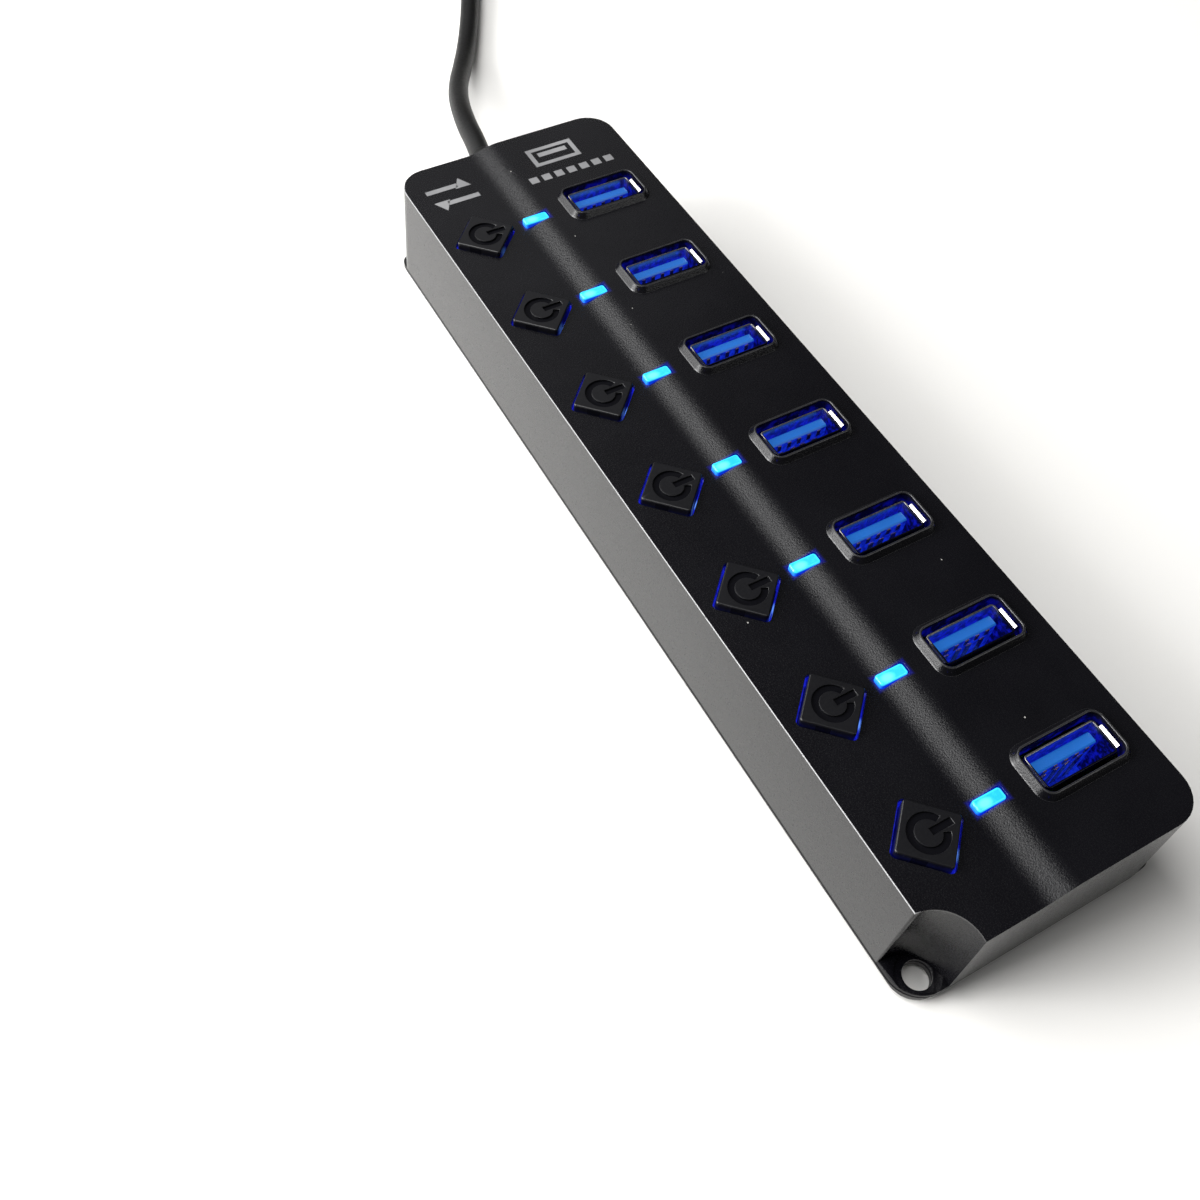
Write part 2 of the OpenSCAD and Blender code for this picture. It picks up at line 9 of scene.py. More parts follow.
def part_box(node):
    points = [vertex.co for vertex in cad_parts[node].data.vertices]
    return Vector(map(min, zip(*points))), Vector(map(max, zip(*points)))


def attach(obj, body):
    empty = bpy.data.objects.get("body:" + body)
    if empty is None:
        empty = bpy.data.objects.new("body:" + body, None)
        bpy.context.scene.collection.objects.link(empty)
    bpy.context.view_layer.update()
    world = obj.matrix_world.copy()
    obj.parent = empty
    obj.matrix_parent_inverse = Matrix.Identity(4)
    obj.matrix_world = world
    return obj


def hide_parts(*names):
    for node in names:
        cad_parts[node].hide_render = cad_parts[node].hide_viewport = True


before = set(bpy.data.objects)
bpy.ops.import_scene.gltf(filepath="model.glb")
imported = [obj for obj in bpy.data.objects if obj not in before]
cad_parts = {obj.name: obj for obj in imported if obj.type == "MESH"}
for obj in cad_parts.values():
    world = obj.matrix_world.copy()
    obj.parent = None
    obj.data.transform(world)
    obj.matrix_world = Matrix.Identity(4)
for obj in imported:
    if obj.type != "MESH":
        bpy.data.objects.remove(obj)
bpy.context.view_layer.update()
mm = 0.001
rowNumbers = range(1, 8)


def middle(node):
    low, high = (Vector(corner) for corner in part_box(node))
    return (low + high) / 2


rowY = {i: middle(f"keycap_{i}").y / mm for i in rowNumbers}
switchX = middle("keycap_1").x / mm
lampX = middle("lamp_1").x / mm
socketX = middle("port_shell_1").x / mm
rowPitch = rowY[1] - rowY[2]
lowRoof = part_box("keycap_1")[1][2] / mm - 1
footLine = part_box("top_housing")[0][2] / mm
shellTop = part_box("port_shell_1")[1][2] / mm
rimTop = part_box("top_housing")[1][2] / mm
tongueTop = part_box("port_tongue_1")[1][2] / mm
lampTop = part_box("lamp_1")[1][2] / mm
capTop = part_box("keycap_1")[1][2] / mm
print("frame loaded:", len(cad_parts), "nodes, rows", round(rowPitch, 2), "mm apart")


# Camera: stands over the hub's near left corner, turned a little about its own axis
view = dict(place=(-93.27, -106.67, 178.12), aim=(-27.55, -5.32, 0), roll=4.674, lens=37.34)


def addCamera():
    data = bpy.data.cameras.new("viewCamera")
    data.sensor_width = 36
    data.lens = view["lens"]
    data.clip_start = 0.005
    camera = bpy.data.objects.new("viewCamera", data)
    place, aim = Vector(view["place"]) * mm, Vector(view["aim"]) * mm
    turn = (aim - place).to_track_quat("-Z", "Y")
    camera.rotation_mode = "QUATERNION"
    camera.rotation_quaternion = turn @ Quaternion((0, 0, 1), math.radians(view["roll"]))
    camera.location = place
    bpy.context.scene.collection.objects.link(camera)
    bpy.context.scene.camera = camera


addCamera()


# Lead: out of the strain relief, down to the table, away in a slow bend, then a tied coil
lead = dict(
    diameter=4.5, length=600,
    run=[
        (0, 96.6, 13), (1.2, 102, 12.7), (2.4, 108, 12), (4, 114, 10.9), (6, 120, 9.4),
        (8.4, 126, 7.7), (11.6, 132.5, 5.8), (15.6, 139.5, 4), (20, 147, 2.7),
        (24.8, 155.5, 2.25), (29.8, 165, 2.25), (34.8, 175, 2.25), (39.7, 186, 2.25),
        (44.5, 198, 2.25), (48.6, 211, 2.25), (51.8, 225, 2.25)],
    coil=(24, 242), outer=29.75, inner=25.25, top=27.5, lie=2.25, topLie=6.75,
    turns=2.25, step=20,
    tail=[
        (18, 269.6, 6.7), (11, 269.7, 6.7), (3, 269.6, 5.4), (-4, 268.6, 4), (-10, 265.6, 2.7),
        (-14.4, 261, 2.5), (-16.6, 256, 3.2), (-17, 252, 4)])


def ease(value, low, high):
    t = min(max((value - low) / (high - low), 0), 1)
    return t * t * (3 - 2 * t)


def coilPoint(angle):
    # outer turn, inner turn, then up on top of both; angle in degrees from +X
    radius = lead["outer"] + (lead["inner"] - lead["outer"]) * ease(angle, 260, 330)
    radius += (lead["top"] - lead["inner"]) * ease(angle, 540, 620)
    height = lead["lie"] + (lead["topLie"] - lead["lie"]) * ease(angle, 540, 620)
    turn = math.radians(angle)
    return (lead["coil"][0] + radius * math.cos(turn),
            lead["coil"][1] + radius * math.sin(turn), height)


def leadPoints():
    last = round(360 * lead["turns"])
    coil = [coilPoint(a) for a in range(0, last + 1, lead["step"])]
    if last % lead["step"]:
        coil.append(coilPoint(last))
    return lead["run"] + coil + lead["tail"]


def addLead():
    data = bpy.data.curves.new("lead", "CURVE")
    data.dimensions = "3D"
    data.bevel_depth = 1
    data.bevel_resolution = 6
    data.resolution_u = 8
    data.use_fill_caps = True
    points = leadPoints()
    line = data.splines.new("BEZIER")
    line.bezier_points.add(len(points) - 1)
    for knot, at in zip(line.bezier_points, points):
        knot.co = Vector(at) * mm
        knot.handle_left_type = knot.handle_right_type = "AUTO"
        knot.radius = lead["diameter"] / 2 * mm
    piece = bpy.data.objects.new("lead", data)
    bpy.context.scene.collection.objects.link(piece)
    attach(piece, "hub")
    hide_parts("cord_run", "cord_coil", "cord_tail")
    return piece


leadPiece = addLead()
print("lead laid")


# Small helpers for shader trees
def addNode(tree, kind, **settings):
    node = tree.nodes.new(kind)
    for key, value in settings.items():
        setattr(node, key, value)
    return node


def feed(tree, socket, value):
    if isinstance(value, bpy.types.NodeSocket):
        tree.links.new(value, socket)
    else:
        socket.default_value = value


def calc(tree, operation, *values, clamp=False):
    node = addNode(tree, "ShaderNodeMath", operation=operation, use_clamp=clamp)
    for socket, value in zip(node.inputs, values):
        feed(tree, socket, value)
    return node.outputs[0]


def stretch(tree, value, low, high, start=0.0, end=1.0, soft=True):
    node = addNode(tree, "ShaderNodeMapRange",
                   interpolation_type="SMOOTHSTEP" if soft else "LINEAR")
    for name, part in (("Value", value), ("From Min", low), ("From Max", high),
                       ("To Min", start), ("To Max", end)):
        feed(tree, node.inputs[name], part)
    return node.outputs["Result"]


def blendColor(tree, factor, first, second):
    node = addNode(tree, "ShaderNodeMix", data_type="RGBA")
    feed(tree, node.inputs["Factor"], factor)
    for socket, value in ((node.inputs[6], first), (node.inputs[7], second)):
        feed(tree, socket, value if isinstance(value, bpy.types.NodeSocket) else (*value, 1))
    return node.outputs[2]


def noise(tree, vector, size, detail=2.0, rough=0.5):
    # size is the width of a grain in millimetres
    node = addNode(tree, "ShaderNodeTexNoise")
    feed(tree, node.inputs["Vector"], vector)
    linked = isinstance(size, bpy.types.NodeSocket)
    feed(tree, node.inputs["Scale"], size if linked else 1 / (size * mm))
    node.inputs["Detail"].default_value = detail
    node.inputs["Roughness"].default_value = rough
    return node.outputs["Fac"]


def newGroup(name, inputs, outputs):
    group = bpy.data.node_groups.new(name, "ShaderNodeTree")
    for label, kind, value in inputs:
        socket = group.interface.new_socket(name=label, in_out="INPUT", socket_type=kind)
        if value is not None:
            socket.default_value = value
    for label in outputs:
        group.interface.new_socket(name=label, in_out="OUTPUT", socket_type="NodeSocketFloat")
    return (group, group.nodes.new("NodeGroupInput").outputs,
            group.nodes.new("NodeGroupOutput").inputs)


def useGroup(tree, group, **values):
    node = addNode(tree, "ShaderNodeGroup", node_tree=group)
    for name, value in values.items():
        feed(tree, node.inputs[name], value)
    return node.outputs


def grainGroup():
    # fine moulded texture, slow blotches and a few dust specks
    group, given, out = newGroup(
        "mouldGrain",
        [("Vector", "NodeSocketVector", None), ("Grain", "NodeSocketFloat", 0.3),
         ("Dust", "NodeSocketFloat", 0.0)],
        ["Height", "Blotch", "Speck"])
    scale = calc(group, "DIVIDE", 1000.0, given["Grain"])
    fine = noise(group, given["Vector"], scale, 3.0, 0.6)
    group.links.new(fine, out["Height"])
    slow = noise(group, given["Vector"], 14.0, 3.0, 0.55)
    group.links.new(stretch(group, slow, 0.3, 0.7), out["Blotch"])
    cells = addNode(group, "ShaderNodeTexVoronoi")
    feed(group, cells.inputs["Vector"], given["Vector"])
    cells.inputs["Scale"].default_value = 1 / (2.2 * mm)
    apart = addNode(group, "ShaderNodeSeparateColor")
    group.links.new(cells.outputs["Color"], apart.inputs[0])
    chosen = calc(group, "LESS_THAN", apart.outputs[0], given["Dust"])
    reach = calc(group, "MULTIPLY_ADD", apart.outputs[1], 0.05, 0.025)
    dot = calc(group, "LESS_THAN", cells.outputs["Distance"], reach)
    group.links.new(calc(group, "MULTIPLY", chosen, dot), out["Speck"])
    return group


def placeGroup():
    # where a point lies from the middle of its row and column, in millimetres
    group, given, out = newGroup(
        "rowPlace",
        [("Vector", "NodeSocketVector", None), ("Column", "NodeSocketFloat", 0.0)],
        ["Across", "Along", "Height"])
    apart = addNode(group, "ShaderNodeSeparateXYZ")
    group.links.new(given["Vector"], apart.inputs[0])
    x, y, z = (calc(group, "MULTIPLY", apart.outputs[n], 1000.0) for n in range(3))
    # beyond the outermost rows nothing counts as near a row
    fromMiddle = calc(group, "SUBTRACT", y, rowY[4])
    ended = calc(group, "GREATER_THAN", calc(group, "ABSOLUTE", fromMiddle), 3.5 * rowPitch)
    across = calc(group, "SUBTRACT", x, given["Column"])
    group.links.new(calc(group, "MULTIPLY_ADD", ended, 1000.0, across), out["Across"])
    along = calc(group, "WRAP", fromMiddle, rowPitch / 2, -rowPitch / 2)
    group.links.new(along, out["Along"])
    group.links.new(z, out["Height"])
    return group


def windowGroup():
    # 1 inside a rectangle, fading to 0 over a soft edge outside it
    group, given, out = newGroup(
        "softWindow",
        [(label, "NodeSocketFloat", value) for label, value in
         (("Across", 0.0), ("Along", 0.0), ("Wide", 1.0), ("Long", 1.0), ("Soft", 0.2))],
        ["Mask"])
    sides = [calc(group, "SUBTRACT", calc(group, "ABSOLUTE", given[a]), given[b])
             for a, b in (("Across", "Wide"), ("Along", "Long"))]
    past = calc(group, "MAXIMUM", *sides)
    group.links.new(stretch(group, past, given["Soft"], 0.0), out["Mask"])
    return group


def wearGroup():
    # rubbed places and a painted highlight along the rounded edges, which the pieces mark in their edgeBand
    # attribute
    group, given, out = newGroup(
        "edgeWearAndHighlight",
        [("Vector", "NodeSocketVector", None), ("Band", "NodeSocketFloat", 0.0),
         ("Spread", "NodeSocketFloat", 0.5)],
        ["Mask"])
    patch = noise(group, given["Vector"], 1.4, 4.0, 0.65)
    wearAndHighlightPatch = stretch(group, patch, given["Spread"], calc(group, "ADD", given["Spread"], 0.16))
    group.links.new(calc(group, "MULTIPLY", wearAndHighlightPatch, given["Band"]), out["Mask"])
    return group


mouldGrain, rowPlace, softWindow, edgeWearAndHighlight = grainGroup(), placeGroup(), windowGroup(), wearGroup()


def objectVector(tree):
    return addNode(tree, "ShaderNodeTexCoord").outputs["Object"]


def newFinish(name, dark, light, rough, grain=0.3, depth=0.01, metallic=0.0, specular=0.5,
              dust=0.0, rubAndHighlight=None, spread=0.5):
    # the common ground of most finishes; returns the material and what its extras need
    look = bpy.data.materials.new(name)
    look.use_nodes = True
    tree = look.node_tree
    shader = tree.nodes["Principled BSDF"]
    at = objectVector(tree)
    made = useGroup(tree, mouldGrain, Vector=at, Grain=grain, Dust=dust)
    color = blendColor(tree, made["Blotch"], dark, light)
    if dust:
        color = blendColor(tree, made["Speck"], color, (0.35, 0.34, 0.32))
    if rubAndHighlight:
        band = addNode(tree, "ShaderNodeAttribute", attribute_name="edgeBand").outputs["Fac"]
        wearAndHighlightMask = useGroup(tree, edgeWearAndHighlight, Vector=at, Band=band, Spread=spread)["Mask"]
        color = blendColor(tree, wearAndHighlightMask, color, rubAndHighlight)
    tree.links.new(color, shader.inputs["Base Color"])
    tree.links.new(stretch(tree, made["Height"], 0.3, 0.7, rough[0], rough[1]), shader.inputs["Roughness"])
    bump = addNode(tree, "ShaderNodeBump")
    bump.inputs["Distance"].default_value = depth * mm
    bump.inputs["Strength"].default_value = 1.0
    tree.links.new(made["Height"], bump.inputs["Height"])
    tree.links.new(bump.outputs[0], shader.inputs["Normal"])
    shader.inputs["Metallic"].default_value = metallic
    shader.inputs["Specular IOR Level"].default_value = specular
    return look, tree, shader, at


def glowOf(tree, shader, color, strength):
    feed(tree, shader.inputs["Emission Color"], color)
    shader.inputs["Emission Strength"].default_value = strength


def housingFinish(values):
    # black moulded plastic, with a painted blue glow in the mouths and round the lamps where the lamps'
    # light would fall
    look, tree, shader, at = newFinish("housingPlastic", **values["ground"])
    # painted light: a streaked blue glow deep in each socket's mouth
    sockets = useGroup(tree, rowPlace, Vector=at, Column=socketX)
    inside = useGroup(tree, softWindow, Across=sockets["Across"], Along=sockets["Along"],
                      Wide=values["mouthSize"][0], Long=values["mouthSize"][1], Soft=0.04)["Mask"]
    deep = stretch(tree, sockets["Height"], rimTop - 0.25, rimTop - 1.1)
    streak = stretch(tree, noise(tree, at, 1.6, 3.0), 0.42, 0.68, 0.08, 1.0)
    paintedMouthGlow = calc(tree, "MULTIPLY", calc(tree, "MULTIPLY", inside, deep), streak)
    # painted light: a blue halo glowing on the plastic round each lamp
    lamps = useGroup(tree, rowPlace, Vector=at, Column=lampX)
    paintedHaloGlow = useGroup(tree, softWindow, Across=lamps["Across"], Along=lamps["Along"],
                    Wide=values["haloSize"][0], Long=values["haloSize"][1],
                    Soft=values["haloSoft"])["Mask"]
    paintedHaloGlow = calc(tree, "MULTIPLY", calc(tree, "POWER", paintedHaloGlow, 2.0), values["paintedHaloGlow"])
    high = stretch(tree, lamps["Height"], lowRoof - 1.5, lowRoof - 0.5)
    paintedHaloGlow = calc(tree, "MULTIPLY", paintedHaloGlow, high)
    mask = calc(tree, "MAXIMUM", calc(tree, "MULTIPLY", paintedMouthGlow, values["mouth"]), paintedHaloGlow)
    glowOf(tree, shader, blendColor(tree, mask, (0, 0, 0), values["blue"]), 1.0)
    # painted shade: the walls' lowest strip has its reflection turned down, for the dark above the cover
    paintedFootShade = stretch(tree, sockets["Height"], footLine + 0.3, footLine + 0.75, 0.02, 0.5)
    # painted shade: the rims' left flanks have their reflection turned down
    rims = useGroup(tree, softWindow, Across=sockets["Across"], Along=sockets["Along"],
                    Wide=values["rimSize"][0], Long=values["rimSize"][1], Soft=0.1)["Mask"]
    flank = calc(tree, "MULTIPLY", rims, stretch(tree, sockets["Across"], -7.0, -7.5))
    flank = calc(tree, "MULTIPLY", flank, stretch(tree, sockets["Height"], lowRoof + 1.25, lowRoof + 1.4))
    # painted shade: the scooped corner has its reflection turned down too
    flat = addNode(tree, "ShaderNodeVectorMath", operation="MULTIPLY")
    feed(tree, flat.inputs[0], at)
    flat.inputs[1].default_value = (1 / mm, 1 / mm, 0)
    away = addNode(tree, "ShaderNodeVectorMath", operation="DISTANCE")
    feed(tree, away.inputs[0], flat.outputs[0])
    away.inputs[1].default_value = (*values["scoopAt"], 0)
    reach = values["scoopRadius"]
    hollow = calc(tree, "MULTIPLY", stretch(tree, away.outputs["Value"], reach + 0.25, reach + 0.1),
                  stretch(tree, sockets["Height"], lowRoof - 0.2, lowRoof - 0.5))
    paintedReflectionShade = calc(tree, "MULTIPLY", calc(tree, "MULTIPLY_ADD", flank, -values["flankPaintedShade"], 1.0),
                  calc(tree, "MULTIPLY_ADD", hollow, -values["scoopPaintedShade"], 1.0))
    tree.links.new(calc(tree, "MULTIPLY", paintedFootShade, paintedReflectionShade), shader.inputs["Specular IOR Level"])
    return look


def capFinish(values):
    # painted shade: the mark's groove has its reflection turned almost off, so it reads dark
    look, tree, shader, at = newFinish("capPlastic", **values["ground"])
    place = useGroup(tree, rowPlace, Vector=at, Column=switchX)
    sunk = calc(tree, "MULTIPLY", stretch(tree, place["Height"], capTop - 0.2, capTop - 0.3),
                useGroup(tree, softWindow, Across=place["Across"], Along=place["Along"],
                         Wide=4.1, Long=3.3, Soft=0.05)["Mask"])
    tree.links.new(stretch(tree, sunk, 0.0, 1.0, 0.5, 0.08), shader.inputs["Specular IOR Level"])
    return look


def nickelFinish(values):
    # plated sheet; a painted blue glow lies on its inside below the mouth
    look, tree, shader, at = newFinish("nickelPlate", **values["ground"])
    place = useGroup(tree, rowPlace, Vector=at, Column=socketX)
    inside = useGroup(tree, softWindow, Across=place["Across"], Along=place["Along"],
                      Wide=6.3, Long=2.6, Soft=0.06)["Mask"]
    deep = stretch(tree, place["Height"], shellTop - 0.15, shellTop - 0.9)
    streak = stretch(tree, noise(tree, at, 1.0, 3.0, 0.6), 0.4, 0.68, 0.06, 1.0)
    mask = calc(tree, "MULTIPLY", calc(tree, "MULTIPLY", inside, deep), streak)
    # painted light: the far side of a mouth is coloured light and the rest dark
    far = stretch(tree, place["Along"], 0.6, 2.4)
    ground = values["ground"]
    tree.links.new(blendColor(tree, far, ground["dark"], ground["light"]), shader.inputs["Base Color"])
    glowOf(tree, shader, blendColor(tree, mask, (0, 0, 0), values["blue"]), 1.0)
    return look


def tongueFinish(values):
    # blue moulding with a painted glow: its tip is painted evenly lit, its faces with an uneven glow from
    # below
    look, tree, shader, at = newFinish("insulatorBlue", **values["ground"])
    place = useGroup(tree, rowPlace, Vector=at, Column=socketX)
    tip = stretch(tree, place["Height"], tongueTop - 0.35, tongueTop - 0.1)
    streak = stretch(tree, noise(tree, at, 1.0, 3.0, 0.6), 0.35, 0.65, 0.1, 1.0)
    sides = blendColor(tree, streak, values["deep"], values["side"])
    glowOf(tree, shader, blendColor(tree, tip, sides, values["tip"]), 1.0)
    return look


def lampFinish(values):
    # diffused resin: a pale hot spot, cyan round it, a lighter edge and deep blue sides
    look, tree, shader, at = newFinish("lampResin", **values["ground"])
    place = useGroup(tree, rowPlace, Vector=at, Column=lampX)
    aside = calc(tree, "ADD", place["Across"], values["spot"][0])
    ahead = calc(tree, "ADD", place["Along"], values["spot"][1])
    squeezed = calc(tree, "MULTIPLY", calc(tree, "MULTIPLY", aside, aside), 0.35)
    far = calc(tree, "SQRT", calc(tree, "ADD", squeezed, calc(tree, "MULTIPLY", ahead, ahead)))
    hot = stretch(tree, far, 1.0, 0.25)
    flecks = calc(tree, "MULTIPLY", stretch(tree, noise(tree, at, 0.6, 2.0), 0.5, 0.72), 0.45)
    body = blendColor(tree, flecks, values["cyan"], values["edge"])
    inner = useGroup(tree, softWindow, Across=place["Across"], Along=place["Along"],
                     Wide=2.0, Long=0.62, Soft=0.2)["Mask"]
    body = blendColor(tree, inner, values["edge"], body)
    body = blendColor(tree, hot, body, values["pale"])
    face = useGroup(tree, softWindow, Across=place["Across"], Along=place["Along"],
                    Wide=2.42, Long=0.94, Soft=0.16)["Mask"]
    top = stretch(tree, place["Height"], lampTop - 0.4, lampTop - 0.1)
    lit = calc(tree, "MULTIPLY", face, top)
    glowOf(tree, shader, blendColor(tree, lit, values["rim"], body), values["strength"])
    return look


def guideFinish(values):
    # lit acrylic: two opposite sides glow, one with a hot streak near its corner; the other two are
    # darkened as painted shade
    look, tree, shader, at = newFinish("guideAcrylic", **values["ground"])
    place = useGroup(tree, rowPlace, Vector=at, Column=switchX)
    apart = calc(tree, "ABSOLUTE", calc(tree, "SUBTRACT", place["Across"], place["Along"]))
    mask = calc(tree, "MULTIPLY", stretch(tree, apart, 3.8, 6.0, 0.04, 1.0),
                stretch(tree, noise(tree, at, 1.0, 3.0), 0.38, 0.66, 0.4, 1.0))
    aside = calc(tree, "SUBTRACT", place["Across"], values["hot"][0])
    ahead = calc(tree, "SUBTRACT", place["Along"], values["hot"][1])
    far = calc(tree, "SQRT", calc(tree, "ADD", calc(tree, "MULTIPLY", aside, aside),
                                  calc(tree, "MULTIPLY", ahead, ahead)))
    hot = stretch(tree, far, 1.3, 0.3)
    lit = blendColor(tree, mask, values["paintedShadeSides"], values["lit"])
    glowOf(tree, shader, blendColor(tree, hot, lit, values["pale"]), values["strength"])
    return look


def wireFinish():
    # four insulation colours side by side
    look, tree, shader, at = newFinish("wireInsulation", (0.5, 0.5, 0.5), (0.6, 0.6, 0.6), (0.3, 0.45))
    apart = addNode(tree, "ShaderNodeSeparateXYZ")
    tree.links.new(at, apart.inputs[0])
    ramp = addNode(tree, "ShaderNodeValToRGB")
    ramp.color_ramp.interpolation = "CONSTANT"
    tree.links.new(stretch(tree, apart.outputs[0], -2.6 * mm, 2.6 * mm, soft=False), ramp.inputs[0])
    for place, color in ((0.0, (0.5, 0.02, 0.02, 1)), (0.25, (0.7, 0.7, 0.68, 1)),
                         (0.5, (0.03, 0.3, 0.06, 1)), (0.75, (0.02, 0.02, 0.02, 1))):
        stop = ramp.color_ramp.elements.new(place) if place else ramp.color_ramp.elements[0]
        stop.color = color
    ramp.color_ramp.elements.remove(ramp.color_ramp.elements[-1])
    tree.links.new(ramp.outputs[0], shader.inputs["Base Color"])
    return look


def boardFinish(values):
    # lacquered board with fine tracks under the lacquer
    look, tree, shader, at = newFinish("boardLacquer", **values["ground"])
    tracks = addNode(tree, "ShaderNodeTexBrick", offset=0.5)
    feed(tree, tracks.inputs["Vector"], at)
    tracks.inputs["Scale"].default_value = 1 / (3.2 * mm)
    tracks.inputs["Mortar Size"].default_value = 0.06
    for name in ("Color1", "Color2"):
        tracks.inputs[name].default_value = (*values["ground"]["dark"], 1)
    tracks.inputs["Mortar"].default_value = (*values["track"], 1)
    tree.links.new(tracks.outputs["Color"], shader.inputs["Base Color"])
    return look


finishes = dict(
    housing=housingFinish(dict(
        ground=dict(dark=(0.0024, 0.0023, 0.0033), light=(0.0036, 0.0035, 0.0047), rough=(0.19, 0.3),
                    # painted light: the rub colour also paints the highlight along the long left edge
                    grain=0.24, depth=0.032, dust=0.06, rubAndHighlight=(0.26, 0.26, 0.265), spread=0.22),
        # painted light: the mouth and halo strengths and the blue colour set the painted blue glow on the
        # plastic
        mouth=0.45, mouthSize=(7.62, 3.87), paintedHaloGlow=0.55, haloSize=(2.6, 1.1), haloSoft=0.75,
        blue=(0.002, 0.004, 0.34), rimSize=(9.8, 6.0), flankPaintedShade=0.5,
        scoopAt=(-23.2, -86.6), scoopRadius=6.5, scoopPaintedShade=0.58)),
    cover=newFinish("coverPlastic", (0.002, 0.002, 0.0025), (0.003, 0.003, 0.0035), (0.4, 0.5),
                    grain=0.3, depth=0.02, rubAndHighlight=(0.08, 0.08, 0.085), spread=0.6)[0],
    cap=capFinish(dict(
        ground=dict(dark=(0.0024, 0.0024, 0.0034), light=(0.0034, 0.0034, 0.0046), rough=(0.3, 0.38),
                    grain=0.22, depth=0.008, dust=0.03))),
    nickel=nickelFinish(dict(
        # painted light and shade: the light colour is the lit far side, the dark colour the rest
        ground=dict(dark=(0.02, 0.02, 0.03), light=(0.42, 0.41, 0.4), rough=(0.26, 0.4), grain=0.25,
                    depth=0.004, metallic=1.0),
        blue=(0.003, 0.006, 0.36))),
    lip=newFinish("lipNickel", (0.4, 0.39, 0.38), (0.5, 0.49, 0.48), (0.28, 0.38), grain=0.25, depth=0.004,
                  metallic=1.0)[0],
    tongue=tongueFinish(dict(
        ground=dict(dark=(0.008, 0.04, 0.15), light=(0.01, 0.06, 0.22), rough=(0.3, 0.4),
                    grain=0.3, depth=0.004),
        # painted light: tip, side and deep are glow colours painted on the moulding
        tip=(0.005, 0.085, 0.33), side=(0.004, 0.02, 0.5), deep=(0.001, 0.002, 0.13))),
    lamp=lampFinish(dict(
        ground=dict(dark=(0.02, 0.25, 0.6), light=(0.03, 0.3, 0.7), rough=(0.15, 0.25),
                    grain=0.4, depth=0.004),
        spot=(0.95, 0.15), pale=(0.2, 0.95, 1.0), edge=(0.03, 0.6, 1.0), cyan=(0.0, 0.36, 0.9),
        rim=(0.0, 0.015, 0.55), strength=1.0)),
    guide=guideFinish(dict(
        ground=dict(dark=(0.02, 0.03, 0.4), light=(0.03, 0.05, 0.5), rough=(0.2, 0.3),
                    grain=0.4, depth=0.004),
        # painted shade: the first colour here darkens two of the four sides
        paintedShadeSides=(0.0, 0.0005, 0.03), lit=(0.006, 0.01, 0.5), pale=(0.12, 0.3, 1.0),
        hot=(2.4, -4.2), strength=1.0)),
    gold=newFinish("contactGold", (0.75, 0.5, 0.16), (0.9, 0.65, 0.25), (0.18, 0.3), grain=0.3, depth=0.002,
                   metallic=1.0)[0],
    lead=newFinish("leadPvc", (0.003, 0.003, 0.003), (0.005, 0.005, 0.005), (0.45, 0.55), grain=0.5,
                   depth=0.012, specular=0.28)[0],
    grip=newFinish("gripPvc", (0.005, 0.005, 0.0055), (0.008, 0.008, 0.0085), (0.45, 0.6), grain=0.3,
                   depth=0.015, rubAndHighlight=(0.05, 0.05, 0.05), spread=0.6)[0],
    tie=newFinish("tieNylon", (0.025, 0.025, 0.028), (0.035, 0.035, 0.038), (0.35, 0.5), grain=0.8,
                  depth=0.05)[0],
    rubber=newFinish("footRubber", (0.03, 0.03, 0.032), (0.045, 0.045, 0.047), (0.7, 0.85), grain=0.35,
                     depth=0.02)[0],
    steel=newFinish("screwSteel", (0.5, 0.5, 0.52), (0.64, 0.64, 0.66), (0.25, 0.4), grain=0.2, depth=0.004,
                    metallic=1.0)[0],
    board=boardFinish(dict(
        ground=dict(dark=(0.01, 0.1, 0.035), light=(0.015, 0.14, 0.05), rough=(0.2, 0.3),
                    grain=0.6, depth=0.01),
        track=(0.03, 0.24, 0.09))),
    chip=newFinish("chipEpoxy", (0.012, 0.012, 0.013), (0.02, 0.02, 0.021), (0.5, 0.65), grain=0.15,
                   depth=0.01)[0],
    can=newFinish("canAluminium", (0.6, 0.6, 0.62), (0.72, 0.72, 0.74), (0.25, 0.38),
                  grain=0.4, depth=0.004, metallic=1.0)[0],
    resin=newFinish("ledResin", (0.7, 0.68, 0.5), (0.8, 0.78, 0.62), (0.15, 0.3),
                    grain=0.3, depth=0.003)[0],
    switch=newFinish("switchPlastic", (0.6, 0.6, 0.58), (0.7, 0.7, 0.68), (0.35, 0.5),
                     grain=0.25, depth=0.008)[0],
    tin=newFinish("tinPlate", (0.55, 0.55, 0.55), (0.68, 0.68, 0.67), (0.25, 0.4), grain=0.2, depth=0.003,
                  metallic=1.0)[0],
    ink=newFinish("printInk", (0.17, 0.17, 0.175), (0.25, 0.25, 0.255), (0.4, 0.55),
                  grain=0.3, depth=0.006)[0],
    wires=wireFinish())
print("finishes made:", len(finishes))


# Shared ways of shaping
def showPiece(shape, name, look, body="hub", sharp=32):
    data = bpy.data.meshes.new(name)
    for face in shape.faces:
        face.smooth = True
    shape.to_mesh(data)
    shape.free()
    data.set_sharp_from_angle(angle=math.radians(sharp))
    data.materials.clear()
    data.materials.append(look)
    piece = bpy.data.objects.new(name, data)
    bpy.context.scene.collection.objects.link(piece)
    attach(piece, body)
    return piece


def weigh(piece):
    # keeps broad flat faces flat beside their rounded edges
    steady = piece.modifiers.new("steadyNormals", "WEIGHTED_NORMAL")
    steady.keep_sharp = True
    steady.weight = 90


